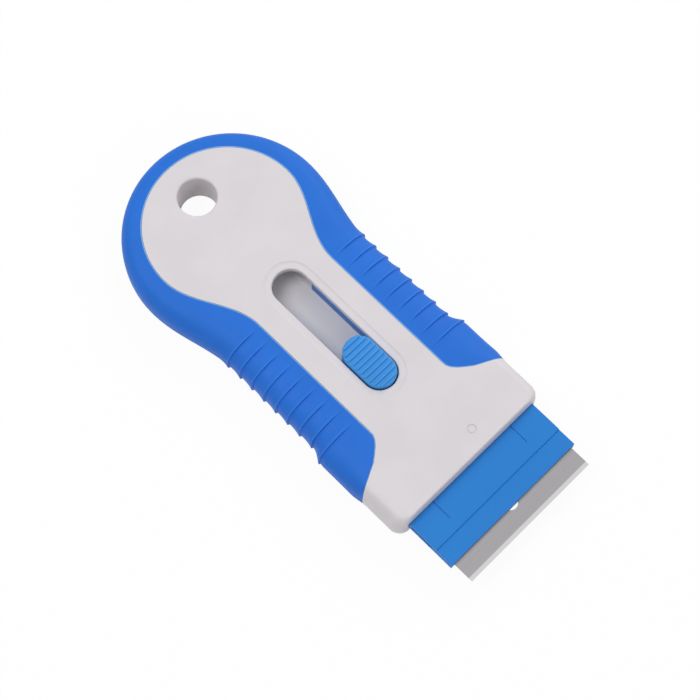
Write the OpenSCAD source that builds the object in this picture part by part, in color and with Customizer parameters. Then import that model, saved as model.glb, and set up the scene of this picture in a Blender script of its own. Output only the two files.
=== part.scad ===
// Razor blade scraper with a thumb slide, two handle shells and a soft grip.
// The origin is on the axis of the hang hole, at the underside. +Y points to the blade, +Z to the button side.

/* [Handle] */
// Thickness of the handle over both shells
handle_t = 11; // [11:0.5:16]
// Height of the parting plane, where the handle is widest
part_z = 4.6; // [4:0.1:5.5]
// Radius of the round head
head_r = 25.8; // [22:0.2:30]
// Centre of the head in front of the hang hole
head_y = 11.3; // [9:0.1:15]
// Width at the waist
waist_w = 43.8; // [40:0.2:52]
// Side walls of the nose beside the carrier
nose_wall = 2.85; // [2.4:0.05:4]
// Front edge of the nose in front of the hang hole
nose_y = 89.5; // [86:0.1:110]
// Corner radius of the nose in plan
nose_corner_r = 3; // [2:0.2:5]
// Wall of the shells
wall = 1.8; // [1.4:0.1:2.2]
// Diameter of the hang hole
hang_d = 9.3; // [6:0.1:11]

/* [Grey face] */
// Radius of the grey face on the head
face_r = 19.6; // [16:0.1:21]
// Centre of that radius in front of the hang hole
face_y = 9.9; // [8:0.1:13]
// Width of the grey face along the waist
face_w = 23; // [20:0.2:26]
// Roll of the nose's side edges
nose_roll = 3.4; // [2:0.1:4]
// Roll of the nose's front edge
front_roll = 0.9; // [0.5:0.1:1.5]
// Diameter of the moulding mark on the nose
mark_d = 2.3; // [1.5:0.1:4]

/* [Grip] */
// Thickness of the soft grip
grip_t = 1.3; // [1:0.1:1.5]
// Number of ribs along each side
rib_n = 9; // [5:1:10]
// Distance from rib to rib
rib_pitch = 3.9; // [3:0.1:4]
// Height of a rib
rib_h = 0.6; // [0.2:0.1:0.8]
// First rib in front of the hang hole
rib_y = 29.6; // [28:0.1:33]
// Where the tip of the grip meets the side
tip_y = 77.8; // [76:0.2:80]

/* [Slide] */
// Length of the thumb slot
slot_l = 37.6; // [34:0.1:40]
// Width of the thumb slot
slot_w = 8.7; // [8:0.1:9.5]
// Front end of the slot in front of the hang hole
slot_y = 64.5; // [61:0.1:66]
// Length of the thumb button
button_l = 14.4; // [12:0.2:18]
// How far the button stands out of the face
button_rise = 1; // [0.5:0.1:2]
// Number of ridges across the button
ridge_n = 10; // [6:1:12]
// How far the button sinks when pressed
press_travel = 1; // [0.6:0.1:1.2]
// How far the button springs up into its lock
lock_travel = 0.6; // [0.4:0.1:0.7]

/* [Carrier] */
// How far the carrier stands out of the nose
carrier_out = 13.2; // [11:0.1:16]
// Thickness of the plates above and below the blade's spine
plate_t = 0.9; // [0.8:0.05:1.1]
// Length of the arms behind the button
arm_l = 16.3; // [8:0.1:18]
// Distance of the two slits from the middle
slit_x = 12.5; // [9:0.1:16]

/* [Blade] */
// Length of the cutting edge
blade_l = 38.1; // [36:0.1:39.5]
// Width of the blade over its spine
blade_w = 18; // [17:0.1:20]
// Thickness of the blade
blade_t = 0.3; // [0.2:0.05:0.4]
// Width of the folded spine
spine_w = 6.2; // [5:0.1:6.6]
// Thickness of the folded spine
spine_t = 1.2; // [1:0.1:1.3]
// Diameter of the hole in the blade
blade_hole_d = 3.5; // [2:0.1:4]
// Distance of that hole from the cutting edge
blade_hole_edge = 6.4; // [5:0.1:7]

/* [Screws] */
// Diameter of the screws' shanks
screw_d = 2.2; // [1.8:0.1:2.4]
// Diameter of the screws' heads
screw_head_d = 4.2; // [3.6:0.1:4.4]

/* [Hidden] */
$fn = 64;

// Overrun of every cut past the face it goes through
over = 1;
// Running clearance of the slide in the shells, and the small gap between fixed pieces
run_gap = 0.2;
seat_gap = 0.05;

// Stations of the outline
head_steps = 16;
side_step = 3.5;
corner_steps = 6;
roll_steps = 6;
// Exponent of the rolled edge: 2 is an ellipse, more is squarer
roll_share = 3;
waist_share = 0.45;
shoulder_y = 65.8;
shoulder_l = 5.5;
// The grip's shoulders stand out over the nose by this much
shoulder_out = 0.6;
face_narrow_y = 33;
nose_flare_y = 69.2;
nose_flare_l = 9.5;
tip_bend_y = 74.4;
rib_rise_share = 0.75;
rib_drop_share = 0.94;
// The plan's corners stand this far beside the stations, so that no two edges meet in one point
plan_shift = 0.02;
// Points nearer the middle than this aren't repeated on the other side
middle = 0.001;

// Blade in its channel: the carrier is a little wider than the blade and closes round its spine
channel_gap = 0.1;
blade_end_gap = 0.9;
spine_show = 0.7;
rear_lip = 2.2;
slit_share = 0.76;
channel_h = spine_t + 2 * channel_gap;
carrier_w = blade_l + 2 * blade_end_gap;
carrier_t = channel_h + 2 * plate_t;
carrier_y = nose_y + carrier_out;

waist_hw = waist_w / 2;
nose_hw = carrier_w / 2 + run_gap + nose_wall;
shoulder_hw = nose_hw + shoulder_out;
face_hw = face_w / 2;
waist_y = head_y + waist_share * (shoulder_y - head_y);
bulge_y = shoulder_y - shoulder_l;
core_end_y = tip_y + grip_t;

// Levels of the carrier, seen from the parting plane up
rail_z = part_z;
carrier_z = rail_z + run_gap;
carrier_top = carrier_z + carrier_t;
nose_ceiling = carrier_top + run_gap;
face_z = handle_t;
ceiling = face_z - wall;
slide_top = ceiling - run_gap;
floor_z = wall;

// Travel of the slide: the button runs from the front end of the slot to its rear end
button_gap = 0.3;
travel = slot_l - button_l - 2 * button_gap;
button_y = slot_y - button_gap - button_l / 2;

blade_z = carrier_z + carrier_t / 2;
spine_y = nose_y + spine_show;
edge_y = spine_y + blade_w;
channel_y = spine_y - channel_gap;
channel_l = spine_w + 2 * channel_gap;
blade_slit_h = blade_t + 4 * channel_gap;
head_rear_y = channel_y - rear_lip;
strip_drop = 0.4;
strip_lap = 1.4;
slit_w = 0.35;
slit_depth = 0.6;
slit_end_y = channel_y + channel_l * slit_share;
bevel_l = 1;
notch_w = 5;
notch_depth = 3.2;
notch_edge = 8.9;
spine_corner_r = 1.4;

// Button, spring and pocket
button_w = slot_w - 2 * button_gap;
button_round_y = (button_l - button_w) / 2;
flange_t = 1;
flange_lap = 0.85;
flange_end = 0.4;
flange_w = slot_w + 2 * flange_lap;
flange_l = 2 * (button_round_y - flange_end);
flange_top = ceiling - lock_travel - run_gap / 2;
flange_z = flange_top - flange_t;
nub_h = 0.5;
nub_w = 0.6;
nub_l = 2;
notch_gap = 0.15;
spring_gap = 0.6;
spring_seat = 0.3;
spring_t = 0.25;
spring_w = 4.4;
spring_l = 11;
pocket_z = flange_z - press_travel - spring_gap;
pocket_gap = 0.2;
pocket_wall = 1;
pocket_side = 1.1;
spring_z = pocket_z - spring_seat;
button_top = face_z + button_rise;
ridge_h = 0.45;
ridge_end_share = 0.6;
ridge_pitch = button_l / (ridge_n + ridge_end_share);

// Arms, channel and guides
arm_gap = 0.15;
arm_in = slot_w / 2 + arm_gap;
slide_hw = flange_w / 2 + pocket_gap + pocket_side;
slide_front_y = button_y + button_l / 2 + pocket_gap + pocket_wall;
arm_y = button_y - button_l / 2 - arm_l;
channel_hw = slide_hw + run_gap;
guide_t = 1.5;
nose_hollow_y = head_rear_y - travel - 2 * run_gap;
channel_rear_y = arm_y - travel - 2 * run_gap;
arm_drop = 0.6;
arm_top = slide_top - arm_drop;

// Hang hole boss, head pockets, nose pockets, screw places
bed_depth = 0.4;
hang_wall = 2.2;
pocket_r = face_r - wall;
sill = 1.8;
screw_gap = 0.15;
screw_core_gap = 0.05;
screw_tip_z = 8.8;
screw_seat_z = 2;
screw_head_t = 1.3;
screw_boss_r = 3.2;
drive_w = 0.7;
drive_depth = 0.7;
drive_share = 0.62;
screw_head_shares = [0.66, 0.34];
screw_waist_share = 0.42;
screw_back = 8;
screw_places = [
    [face_r * screw_head_shares[0], face_y + face_r * screw_head_shares[1]],
    [channel_hw + (face_hw - channel_hw) * screw_waist_share, nose_hollow_y - screw_back]
];

// Slot rim and moulding mark
rim_w = 1.9;
rim_depth = 0.3;
mark_x = -5.1;
mark_back = 5.1;
mark_y = nose_y - mark_back;
mark_ring = 0.35;
mark_depth = 0.2;

// Curves of the outline

function ease(t) = (1 - cos(180 * min(max(t, 0), 1))) / 2;
function blend(a, b, y, y0, y1) = a + (b - a) * ease((y - y0) / (y1 - y0));

function half_width(y) = y < bulge_y
    ? blend(head_r, waist_hw, y, head_y, waist_y)
    : y < tip_bend_y
    ? blend(waist_hw, shoulder_hw, y, bulge_y, shoulder_y)
    : blend(shoulder_hw, nose_hw, y, tip_bend_y, core_end_y);

function face_half(y) = y < nose_flare_y
    ? blend(face_r, face_hw, y, face_y, face_narrow_y)
    : blend(face_hw, nose_hw - nose_roll, y, nose_flare_y, nose_flare_y + nose_flare_l);

// A rib rises slowly towards the nose and drops back at once
function rib(y) =
    let (p = (y - rib_y) / rib_pitch, f = p - floor(p))
    p < 0 || p >= rib_n ? 0
    : rib_h * (f < rib_rise_share ? f / rib_rise_share : (1 - f) / (1 - rib_rise_share));

// The face's stations lag behind the outline's near the head, because their centres differ
function face_lag(y) = (head_y - face_y) * (1 - ease((y - head_y) / (face_narrow_y - head_y)));

function head_stations() = [
    for (i = [0:head_steps]) let (a = 90 * i / head_steps)
    [[face_r * sin(a), face_y - face_r * cos(a)], [head_r * sin(a), head_y - head_r * cos(a)]]
];

function side_station(y, ribs) = [[face_half(y - face_lag(y)), y - face_lag(y)],
                                  [half_width(y) + (ribs ? rib(y) : 0), y]];

function even_places(y0, y1) =
    let (n = ceil((y1 - y0) / side_step)) [for (i = [1:n]) y0 + (y1 - y0) * i / n];

// The foot, the crest and the drop of each rib
function rib_places() = [
    for (i = [0:rib_n - 1], s = [0, rib_rise_share, rib_drop_share]) rib_y + rib_pitch * (i + s)
];

// The skin, the core and the plan share their stations, so that their edges run side by side
function side_places(end_y) = concat(
    even_places(head_y, rib_y - side_step / 2),
    rib_places(),
    even_places(rib_y + rib_n * rib_pitch, tip_bend_y),
    end_y > tip_bend_y ? even_places(tip_bend_y, end_y) : []);

function nose_stations() = [
    for (i = [0:corner_steps]) let (b = 90 * i / corner_steps, r = nose_corner_r)
    [[nose_hw - nose_roll - (1 - cos(b)) * (r - front_roll),
      nose_y - front_roll - (1 - sin(b)) * (r - front_roll)],
     [nose_hw - (1 - cos(b)) * r, nose_y - (1 - sin(b)) * r]]
];

function form_stations(ribs) = concat(
    head_stations(),
    [for (y = side_places(nose_y - nose_corner_r - side_step)) side_station(y, ribs)],
    nose_stations());

function core_stations() = concat(
    head_stations(),
    [for (y = side_places(core_end_y)) side_station(y, false)]);

// A closed loop runs up one side and down the other
function mirrored(loop) = concat(loop, [
    for (i = [len(loop) - 1:-1:0]) if (loop[i][0] > middle) [-loop[i][0], loop[i][1]]
]);

function level_point(s, inset, f) =
    let (d = norm(s[1] - s[0])) s[0] + (s[1] - s[0]) * (1 - inset / d) * f;

// One half of the handle as a solid between the parting plane and a flat face, with a rolled edge
module half_form(stations, inset, flat_z) {
    loops = [
        for (j = [0:roll_steps]) let (a = 90 * j / roll_steps,
            z = part_z + (flat_z - part_z) * pow(cos(a), 2 / roll_share))
        [for (p = mirrored([for (s = stations) level_point(s, inset, pow(sin(a), 2 / roll_share))]))
            [p[0], p[1], z]]
    ];
    n = len(loops[0]);
    up = flat_z > part_z;
    walls = [
        for (j = [0:roll_steps - 1], i = [0:n - 1]) let (k = (i + 1) % n)
        each [[j * n + i, j * n + k, (j + 1) * n + k], [j * n + i, (j + 1) * n + k, (j + 1) * n + i]]
    ];
    flat = [for (i = [n - 1:-1:0]) i];
    seat = [for (i = [0:n - 1]) roll_steps * n + i];
    faces = concat([flat, seat], walls);
    polyhedron([for (l = loops) each l], up ? faces : [for (f = faces) [for (i = [len(f) - 1:-1:0]) f[i]]]);
}

// Plan of what stays grey: the face and the nose, up to the tips of the grip
module grey_plan(out) {
    places = side_places(tip_bend_y);
    side = [for (s = concat(head_stations(), [for (y = places) side_station(y, false)]))
        let (u = (s[1] - s[0]) / norm(s[1] - s[0])) s[0] + u * out + [-u[1], u[0]] * plan_shift];
    bend = side[len(side) - 1];
    tip = [nose_hw, tip_y - out];
    past = tip + (tip - bend) * over / (tip - bend)[0];
    polygon(mirrored(concat(side, [past, [nose_hw + over, nose_y + over]])));
}

module grey_prism(out) {
    translate([0, 0, -over]) linear_extrude(handle_t + 2 * over) grey_plan(out);
}

module block(x0, x1, y0, y1, z0, z1) {
    translate([x0, y0, z0]) cube([x1 - x0, y1 - y0, z1 - z0]);
}

module both_sides() {
    children();
    mirror([1, 0, 0]) children();
}

module stadium(l, w) {
    square([w, l - w], center = true);
    for (s = [-1, 1]) translate([0, s * (l - w) / 2]) circle(d = w);
}

module at_screws() {
    both_sides() for (p = screw_places) translate(p) children();
}

// Hollow crescents of the head beside the slide's guides
module head_pockets(z0, z1) {
    translate([0, 0, z0]) linear_extrude(z1 - z0) difference() {
        translate([0, face_y]) circle(pocket_r);
        square([2 * (channel_hw + guide_t), 4 * face_r], center = true);
        circle(hang_d / 2 + hang_wall);
        at_screws() circle(screw_boss_r);
    }
}

// One shell: its grey skin and the core that carries the grip
module shell_form(flat_z, core_z) {
    intersection() {
        half_form(form_stations(false), 0, flat_z);
        grey_prism(seat_gap);
    }
    half_form(core_stations(), grip_t + seat_gap, core_z);
}

module hang_hole() {
    translate([0, 0, -over]) cylinder(d = hang_d, h = handle_t + 2 * over);
}

module slot_cut(l, w, z0) {
    translate([0, slot_y - slot_l / 2, z0]) linear_extrude(handle_t + over - z0) stadium(l, w);
}

// Notches that the button's nubs spring into at both ends of the travel
module lock_notches() {
    for (y = [button_y, button_y - travel]) both_sides()
        block(flange_w / 2 - nub_w - notch_gap, flange_w / 2 + notch_gap,
              y - nub_l / 2 - notch_gap, y + nub_l / 2 + notch_gap,
              ceiling - over, ceiling + nub_h + notch_gap);
}

module top_shell() color("#dbd7da") difference() {
    resize([0, 0, handle_t - part_z]) difference() {
        shell_form(face_z, face_z - grip_t - seat_gap);
        block(-channel_hw, channel_hw, channel_rear_y, nose_y + over, part_z - over, nose_ceiling);
        block(-channel_hw, channel_hw, channel_rear_y, slide_front_y + 2 * run_gap, part_z - over, ceiling);
        block(-carrier_w / 2 - run_gap, carrier_w / 2 + run_gap, nose_hollow_y, nose_y + over,
              part_z - over, nose_ceiling);
        head_pockets(part_z - over, ceiling);
        lock_notches();
    }
    slot_cut(slot_l, slot_w, ceiling - over);
    slot_cut(slot_l + 2 * rim_w, slot_w + 2 * rim_w, face_z - rim_depth);
    hang_hole();
    at_screws() translate([0, 0, part_z - over])
        cylinder(d = screw_d + 2 * screw_core_gap, h = screw_tip_z + over - part_z + run_gap);
    translate([mark_x, mark_y, face_z - mark_depth]) difference() {
        cylinder(d = mark_d, h = over);
        cylinder(d = mark_d - 2 * mark_ring, h = over);
    }
}

module bottom_shell() color("#d5d1d4") difference() {
    resize([0, 0, part_z]) difference() {
        shell_form(0, grip_t + seat_gap);
        block(-arm_in, arm_in, channel_rear_y, nose_y - sill - over, part_z - bed_depth, part_z + over);
        both_sides() block(channel_hw + guide_t, carrier_w / 2 - sill, nose_hollow_y + sill,
                           nose_y - sill, floor_z, part_z + over);
        head_pockets(floor_z, part_z + over);
    }
    hang_hole();
    at_screws() {
        translate([0, 0, -over]) cylinder(d = screw_d + 2 * screw_gap, h = part_z + 2 * over);
        translate([0, 0, -over]) cylinder(d = screw_head_d + 2 * screw_gap, h = screw_seat_z + over);
    }
}

module upper_grip() color("#2a6bd2") resize([0, 0, handle_t - part_z]) difference() {
    half_form(form_stations(true), 0, face_z);
    half_form(core_stations(), grip_t, face_z - grip_t);
    grey_prism(2 * seat_gap);
}

module lower_grip() color("#2867cb") resize([0, 0, part_z]) difference() {
    half_form(form_stations(true), 0, 0);
    half_form(core_stations(), grip_t, grip_t);
    grey_prism(2 * seat_gap);
}

module shell_screws() color("#b4b4b8") at_screws() difference() {
    union() {
        translate([0, 0, screw_seat_z - screw_head_t]) cylinder(d = screw_head_d, h = screw_head_t);
        translate([0, 0, screw_seat_z]) cylinder(d = screw_d, h = screw_tip_z - screw_seat_z);
    }
    for (a = [0, 90]) rotate(a) translate([0, 0, screw_seat_z - screw_head_t])
        cube([screw_head_d * drive_share, drive_w, 2 * drive_depth], center = true);
}

// The round end of the slide lies under the button's, and the arms run back on both sides of it
module between_arms() {
    difference() {
        translate([-arm_in, arm_y - over]) square([2 * arm_in, button_y - button_round_y + over - arm_y]);
        translate([0, button_y - button_round_y]) circle(d = button_w);
    }
}

module blade_carrier() color("#2a7ccf") difference() {
    union() {
        block(-carrier_w / 2, carrier_w / 2, head_rear_y, carrier_y, carrier_z, carrier_top);
        block(-slide_hw, slide_hw, slide_front_y - over, carrier_y, carrier_z, carrier_top);
        block(-slide_hw, slide_hw, arm_y, slide_front_y, carrier_z, slide_top);
    }
    translate([0, 0, carrier_z - over]) linear_extrude(slide_top + 2 * over - carrier_z) between_arms();
    block(-carrier_w, carrier_w, arm_y - over, button_y - button_l / 2, arm_top, slide_top + over);
    // Well of the button, with room for its tabs, and the seat of the spring
    translate([0, button_y, pocket_z]) linear_extrude(slide_top + over - pocket_z)
        stadium(button_l + 2 * pocket_gap, button_w + 2 * pocket_gap);
    block(-flange_w / 2 - pocket_gap, flange_w / 2 + pocket_gap, button_y - flange_l / 2 - pocket_gap,
          button_y + flange_l / 2 + pocket_gap, pocket_z, slide_top + over);
    block(-spring_w / 2 - pocket_gap, spring_w / 2 + pocket_gap, button_y - spring_l / 2 - pocket_gap,
          button_y + spring_l / 2 + pocket_gap, spring_z, slide_top + over);
    // Channel of the spine and the slit of the blade, open to both sides
    block(-carrier_w, carrier_w, channel_y, channel_y + channel_l,
          blade_z - channel_h / 2, blade_z + channel_h / 2);
    block(-carrier_w, carrier_w, channel_y, carrier_y + over,
          blade_z - blade_slit_h / 2, blade_z + blade_slit_h / 2);
    // Lower front strip ahead of the spine
    block(-carrier_w, carrier_w, channel_y + channel_l + strip_lap, carrier_y + over,
          carrier_top - strip_drop, carrier_top + over);
    // Two fine slits in the upper plate
    both_sides() block(slit_x - slit_w / 2, slit_x + slit_w / 2, head_rear_y - over, slit_end_y,
                       carrier_top - slit_depth, carrier_top + over);
}

module thumb_button() color("#3287dc") translate([0, button_y, 0]) {
    translate([0, 0, flange_z]) linear_extrude(flange_t) square([flange_w, flange_l], center = true);
    translate([0, 0, flange_z]) linear_extrude(button_top - ridge_h - flange_z) stadium(button_l, button_w);
    both_sides() block(flange_w / 2 - nub_w, flange_w / 2, -nub_l / 2, nub_l / 2, flange_z, flange_top + nub_h);
    intersection() {
        translate([0, 0, flange_z]) linear_extrude(button_top - flange_z) stadium(button_l, button_w);
        for (i = [0:ridge_n - 1])
            translate([0, (i - (ridge_n - 1) / 2) * ridge_pitch, button_top - ridge_h])
                rotate([0, 90, 0]) cylinder(r = ridge_h, h = button_w, center = true);
    }
}

// A bowed strip: its feet stand in the pocket and its crown carries the button
module lock_spring() color("#c2c2c6") {
    rise = flange_z - seat_gap - spring_z;
    bow_r = (pow(spring_l / 2, 2) + pow(rise, 2)) / (2 * rise);
    translate([-spring_w / 2, button_y, flange_z - seat_gap - bow_r]) rotate([90, 0, 90])
        linear_extrude(spring_w) intersection() {
            difference() {
                circle(bow_r, $fn = 180);
                circle(bow_r - spring_t, $fn = 180);
            }
            translate([-spring_l / 2, bow_r - rise + seat_gap]) square([spring_l, rise]);
        }
}

module blade_plan() {
    difference() {
        translate([-blade_l / 2, spine_y + channel_gap]) square([blade_l, blade_w - channel_gap]);
        translate([0, edge_y - blade_hole_edge]) circle(d = blade_hole_d);
        for (s = [-1, 1]) translate([s * blade_l / 2, edge_y - notch_edge]) {
            square([2 * (notch_depth - notch_w / 2), notch_w], center = true);
            translate([-s * (notch_depth - notch_w / 2), 0]) circle(d = notch_w);
        }
    }
}

module razor_blade() color("#a8a7aa") intersection() {
    translate([0, 0, blade_z - blade_t]) linear_extrude(2 * blade_t) blade_plan();
    rotate([90, 0, 90]) translate([0, 0, -blade_l]) linear_extrude(2 * blade_l) polygon([
        [spine_y, blade_z - blade_t / 2],
        [edge_y - bevel_l, blade_z - blade_t / 2],
        [edge_y, blade_z],
        [edge_y - bevel_l, blade_z + blade_t / 2],
        [spine_y, blade_z + blade_t / 2]
    ]);
}

module blade_spine() color("#d9d3d7") difference() {
    translate([0, spine_y, blade_z - spine_t / 2]) linear_extrude(spine_t) difference() {
        translate([-blade_l / 2, 0]) square([blade_l, spine_w]);
        for (x = [-1, 1]) translate([x * blade_l / 2, spine_w]) mirror([x > 0 ? 0 : 1, 0, 0])
            difference() {
                square(2 * spine_corner_r, center = true);
                translate([-spine_corner_r, -spine_corner_r]) circle(spine_corner_r);
            }
    }
    block(-blade_l, blade_l, spine_y + channel_gap - seat_gap, edge_y,
          blade_z - blade_t / 2, blade_z + blade_t / 2);
}

top_shell();
bottom_shell();
upper_grip();
lower_grip();
shell_screws();
blade_carrier();
thumb_button();
lock_spring();
razor_blade();
blade_spine();
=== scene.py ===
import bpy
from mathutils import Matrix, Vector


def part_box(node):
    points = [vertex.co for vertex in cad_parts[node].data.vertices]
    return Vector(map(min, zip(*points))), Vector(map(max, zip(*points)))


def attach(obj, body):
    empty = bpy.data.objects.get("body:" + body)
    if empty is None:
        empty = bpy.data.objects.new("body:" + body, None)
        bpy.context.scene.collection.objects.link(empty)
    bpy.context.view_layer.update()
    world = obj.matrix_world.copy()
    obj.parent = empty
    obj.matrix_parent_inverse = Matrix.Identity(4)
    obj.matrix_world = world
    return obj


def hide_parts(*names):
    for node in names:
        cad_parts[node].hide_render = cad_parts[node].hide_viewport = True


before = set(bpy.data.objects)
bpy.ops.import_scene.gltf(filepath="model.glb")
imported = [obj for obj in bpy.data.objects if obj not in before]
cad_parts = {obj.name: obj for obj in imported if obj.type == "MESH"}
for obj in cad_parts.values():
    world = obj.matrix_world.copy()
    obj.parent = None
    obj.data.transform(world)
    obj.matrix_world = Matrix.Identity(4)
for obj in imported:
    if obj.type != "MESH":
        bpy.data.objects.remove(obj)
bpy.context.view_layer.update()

from math import asin, ceil, cos, pi, radians, sin, sqrt

import bmesh
import bpy
from mathutils import Matrix, Vector

MM = 0.001

# Levels taken from the frame
part_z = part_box("top_shell")[0].z
face_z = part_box("top_shell")[1].z
under_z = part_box("bottom_shell")[0].z
carrier_low, carrier_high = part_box("blade_carrier")
button_low, button_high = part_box("thumb_button")
spine_low, spine_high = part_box("blade_spine")
blade_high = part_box("razor_blade")[1]
screw_low, screw_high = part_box("shell_screws")

# Outline of the handle: the hang hole is at the origin and the blade lies along +Y
head_radius = 25.8 * MM
head_middle = 11.3 * MM
waist_half = 21.9 * MM
waist_start = 35.825 * MM
waist_end = 60.3 * MM
shoulder = 65.8 * MM
shoulder_half = 23.6 * MM
nose_half = 23 * MM
nose_front = 89.5 * MM
nose_corner = 3 * MM
roll_power = 3

# Grey face
face_radius = 19.6 * MM
face_middle = 9.9 * MM
face_half = 11.5 * MM
face_narrow = 33 * MM
flare_start = 69.2 * MM
flare_end = 78.7 * MM
nose_roll = 3.4 * MM
front_roll = 0.9 * MM

# Soft grip
grip_thick = 1.3 * MM
grip_gap = 0.1 * MM
shell_gap = 0.05 * MM
tip_bend = 74.4 * MM
tip_place = 77.8 * MM
lip_depth = 0.5 * MM
lip_round = 0.12 * MM
lip_width = 0.34 * MM
lip_line_share, lip_round_share, lip_depth_share = 0.3, 0.15, 0.4
lip_upright_share = 0.3
core_share = 0.4
rib_first = 29.6 * MM
rib_pitch = 3.9 * MM
rib_count = 9
rib_height = 0.5 * MM
rib_rise = 0.93
rib_curve = 2.4
rib_fade = (0.06, 0.5)
rib_lead = 0.3 * MM
# Place and half width of the crest mask, which carries the rubber's painted highlight
crest_place, crest_half = 0.89, 0.05
rib_phases = (0, 0.2, 0.38, 0.53, 0.65, 0.74, 0.81, 0.86, 0.9, 0.93, 0.95, 0.975)

# Slot, hang hole and moulding mark
hang_radius = 4.65 * MM
hang_round = 0.6 * MM
slot_front = 64.5 * MM
slot_long = 37.6 * MM
slot_wide = 8.7 * MM
slot_round = 0.35 * MM
rim_width = 1.9 * MM
rim_depth = 0.3 * MM
rim_slope = 0.5 * MM
rim_edge = 0.02 * MM
rim_flare = 0.05 * MM
mark_place = (-5.1 * MM, 84.4 * MM)
mark_radius = 1.15 * MM
mark_line = 0.35 * MM
mark_depth = 0.14 * MM

# Inside of the shells
wall = 1.8 * MM
ceiling = face_z - wall
over = 1 * MM
run_gap = 0.2 * MM
slide_half = 6.5 * MM
channel_half = slide_half + run_gap
slide_travel = 22.6 * MM
channel_rear = carrier_low.y - slide_travel - 2 * run_gap
spine_gap = 0.1 * MM
spine_channel = spine_low.y - spine_gap
carrier_wall = 2.2 * MM
carrier_rear = spine_channel - carrier_wall
nose_hollow = carrier_rear - slide_travel - 2 * run_gap
nose_ceiling = 8.2 * MM
slide_wall = 1.2 * MM
slide_front = button_high.y + slide_wall
bed_depth = 0.4 * MM
bed = part_z - bed_depth
head_pocket_radius = face_radius - wall
guide = 1.5 * MM
boss_radius = 3.2 * MM
rail_half = 4.5 * MM
sill = 1.8 * MM

# Blade and its folded spine
bevel_wide = 1 * MM
bevel_blur = 0.05 * MM
fold_gap = 0.16 * MM
fold_corner = 1.4 * MM
fold_edge = 0.1 * MM
fold_crimp = 0.22

# Screws
screw_places = [(12.936 * MM, 16.564 * MM), (8.716 * MM, 56.9 * MM)]
screw_bore = 1.15 * MM
screw_head_radius = 2.1 * MM
screw_seat = 2 * MM
screw_bore_gap = 0.1 * MM
screw_head_gap = 0.15 * MM
screw_steps = 40
shank = 1.1 * MM
thread_depth = 0.14 * MM
thread_pitch = 0.8 * MM
point_long = 0.5 * MM
point_share = 0.5
head_profile = ((0.72, 0), (0.88, 0.08 * MM), (0.97, 0.25 * MM), (1, 0.5 * MM))
cross_arm, cross_half, cross_depth = 1.3 * MM, 0.34 * MM, 0.7 * MM

# Blade carrier
plate_top = 8 * MM
channel_long = 6.4 * MM
strip_gap, strip_depth = 1.4 * MM, 0.4 * MM
blade_slit = 0.35 * MM
well_depth, well_gap = 1.6 * MM, 0.2 * MM
arm_drop = 0.6 * MM
tab_pocket = 5.4 * MM
spring_half, spring_reach, spring_depth = 2.4 * MM, 5.7 * MM, 0.3 * MM
groove_place, groove_half = 12.5 * MM, 0.11 * MM
groove_long, groove_depth = 4.86 * MM, 0.25 * MM
carrier_edge = 0.12 * MM

# Thumb button
button_long, button_wide = button_high.y - button_low.y, 8.1 * MM
button_middle = (button_low.y + button_high.y) / 2
button_round = button_middle - (button_long - button_wide) / 2
button_edge = 0.5 * MM
body_lift = 0.1 * MM
tab_half = 2.75 * MM
tab_thick = 1 * MM
nub_wide, nub_long, nub_high = 0.6 * MM, 2 * MM, 0.5 * MM
lock_rise = 0.6 * MM
notch_gap = 0.15 * MM
ridge_count = 10
ridge_margin = 0.6
ridge_high, ridge_half, ridge_root = 0.52 * MM, 0.42 * MM, 0.2 * MM
ridge_ends = ((-0.93, 0.55), (-0.85, 1), (0.85, 1), (0.93, 0.55))

# Fineness of the meshes
side_step = 1.2 * MM
shoulder_step = 0.6 * MM
tip_step = 0.3 * MM
tip_short = 0.08 * MM
head_steps = 40
roll_steps = 14
nose_steps = 12
bore_steps = 8
edge_steps = 6
fold_steps = 12
ridge_steps = 10
column_steps = 32
grip_levels = 26
core_levels = 8
merge_gap, merge_angle = 0.002 * MM, 1


def ease(t):
    t = min(max(t, 0), 1)
    return (1 - cos(pi * t)) / 2


def between(a, b, y, y0, y1):
    return a + (b - a) * ease((y - y0) / (y1 - y0))


def outer_half(y):
    if y < waist_end:
        return between(head_radius, waist_half, y, head_middle, waist_start)
    if y < tip_bend:
        return between(waist_half, shoulder_half, y, waist_end, shoulder)
    return between(shoulder_half, nose_half, y, tip_bend, tip_place + grip_thick)


def flat_half(y):
    if y < flare_start:
        return between(face_radius, face_half, y, face_middle, face_narrow)
    return between(face_half, nose_half - nose_roll, y, flare_start, flare_end)


def face_lag(y):
    """The face's points lag behind the outline's near the head, because their centres differ."""
    return (head_middle - face_middle) * (1 - ease((y - head_middle) / (face_narrow - head_middle)))


def quarter(steps):
    """Angles from zero to a right angle."""
    return [pi / 2 * i / steps for i in range(steps + 1)]


def head_stations(steps):
    return [(Vector((face_radius * sin(a), face_middle - face_radius * cos(a))),
             Vector((head_radius * sin(a), head_middle - head_radius * cos(a)))) for a in quarter(steps)]


def side_station(y):
    lagged = y - face_lag(y)
    return Vector((flat_half(lagged), lagged)), Vector((outer_half(y), y))


def even_places(y0, y1, step):
    n = ceil((y1 - y0) / step)
    return [y0 + (y1 - y0) * i / n for i in range(1, n + 1)]


def nose_stations(steps):
    small = nose_corner - front_roll
    return [(Vector((nose_half - nose_roll - (1 - cos(b)) * small,
                     nose_front - front_roll - (1 - sin(b)) * small)),
             Vector((nose_half - (1 - cos(b)) * nose_corner,
                     nose_front - (1 - sin(b)) * nose_corner))) for b in quarter(steps)]


def mirrored(loop):
    """A closed loop: up one side and down the other."""
    return loop + [Vector((-p.x, p.y)) for p in reversed(loop) if p.x > 1e-6]


def roll(angle):
    """Share of the way out and share of the height at an angle round the rolled edge."""
    return max(sin(angle), 0) ** (2 / roll_power), max(cos(angle), 0) ** (2 / roll_power)


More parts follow.
